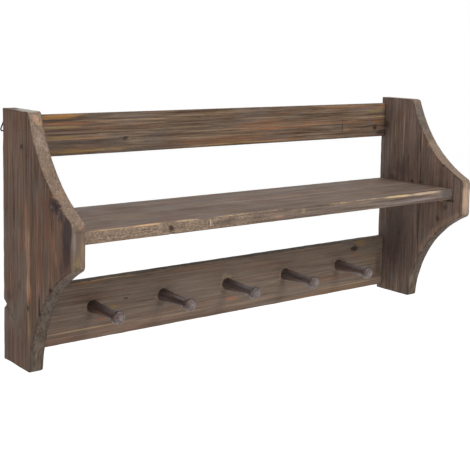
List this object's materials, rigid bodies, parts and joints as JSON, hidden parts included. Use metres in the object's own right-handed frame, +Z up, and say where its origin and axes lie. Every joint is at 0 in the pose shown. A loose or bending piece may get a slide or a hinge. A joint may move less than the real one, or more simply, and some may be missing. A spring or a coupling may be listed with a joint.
{
  "type": "wall rack",
  "caption": "Wall rack in aged wood: scooped side boards carry a shelf, an upper rail and a lower rail with turned pegs; it hangs by wire rings at the back.",
  "frame": {"origin": "middle of the peg rail's back face, in the plane of the rack's back", "axes": "+X across the rack to the viewer's right seen from the front, +Y out of the back into the wall, +Z up"},
  "size_m": [0.8048, 0.2068, 0.37],
  "materials": {
    "board_wood": "aged brown-grey boards, stained and waxed, with worn pale edges and some saw marks",
    "peg_wood": "turned, stained brown, waxed",
    "dowel_wood": "plain beech, unfinished",
    "black_metal": "black lacquered wire and sheet",
    "screw_steel": "dull zinc-plated steel"
  },
  "bodies": {
    "rack": {"side_left_rear_stave": "board_wood", "side_left_front_stave": "board_wood", "side_right_rear_stave": "board_wood", "side_right_front_stave": "board_wood", "shelf": "board_wood", "upper_rail": "board_wood", "peg_rail": "board_wood", "peg_1": "peg_wood", "peg_2": "peg_wood", "peg_3": "peg_wood", "peg_4": "peg_wood", "peg_5": "peg_wood", "shelf_dowel_left_1": "dowel_wood", "shelf_dowel_left_2": "dowel_wood", "shelf_dowel_left_3": "dowel_wood", "shelf_dowel_right_1": "dowel_wood", "shelf_dowel_right_2": "dowel_wood", "shelf_dowel_right_3": "dowel_wood", "upper_rail_dowel_left_1": "dowel_wood", "upper_rail_dowel_left_2": "dowel_wood", "upper_rail_dowel_right_1": "dowel_wood", "upper_rail_dowel_right_2": "dowel_wood", "peg_rail_dowel_left_1": "dowel_wood", "peg_rail_dowel_left_2": "dowel_wood", "peg_rail_dowel_right_1": "dowel_wood", "peg_rail_dowel_right_2": "dowel_wood", "hanger_strap_left": "black_metal", "hanger_screw_left": "screw_steel", "hanger_strap_right": "black_metal", "hanger_screw_right": "screw_steel"},
    "ring_left": {"hanger_ring_left": "black_metal"},
    "ring_right": {"hanger_ring_right": "black_metal"}
  },
  "joints": [
    {"name": "ring_left_swing", "type": "hinge", "parent": "rack", "child": "ring_left", "pos_m": [-0.389, 0.00188, 0.2805], "axis": [-1, 0, 0], "range_deg": [0, 170]},
    {"name": "ring_right_swing", "type": "hinge", "parent": "rack", "child": "ring_right", "pos_m": [0.389, 0.00188, 0.2805], "axis": [-1, 0, 0], "range_deg": [0, 170]}
  ]
}
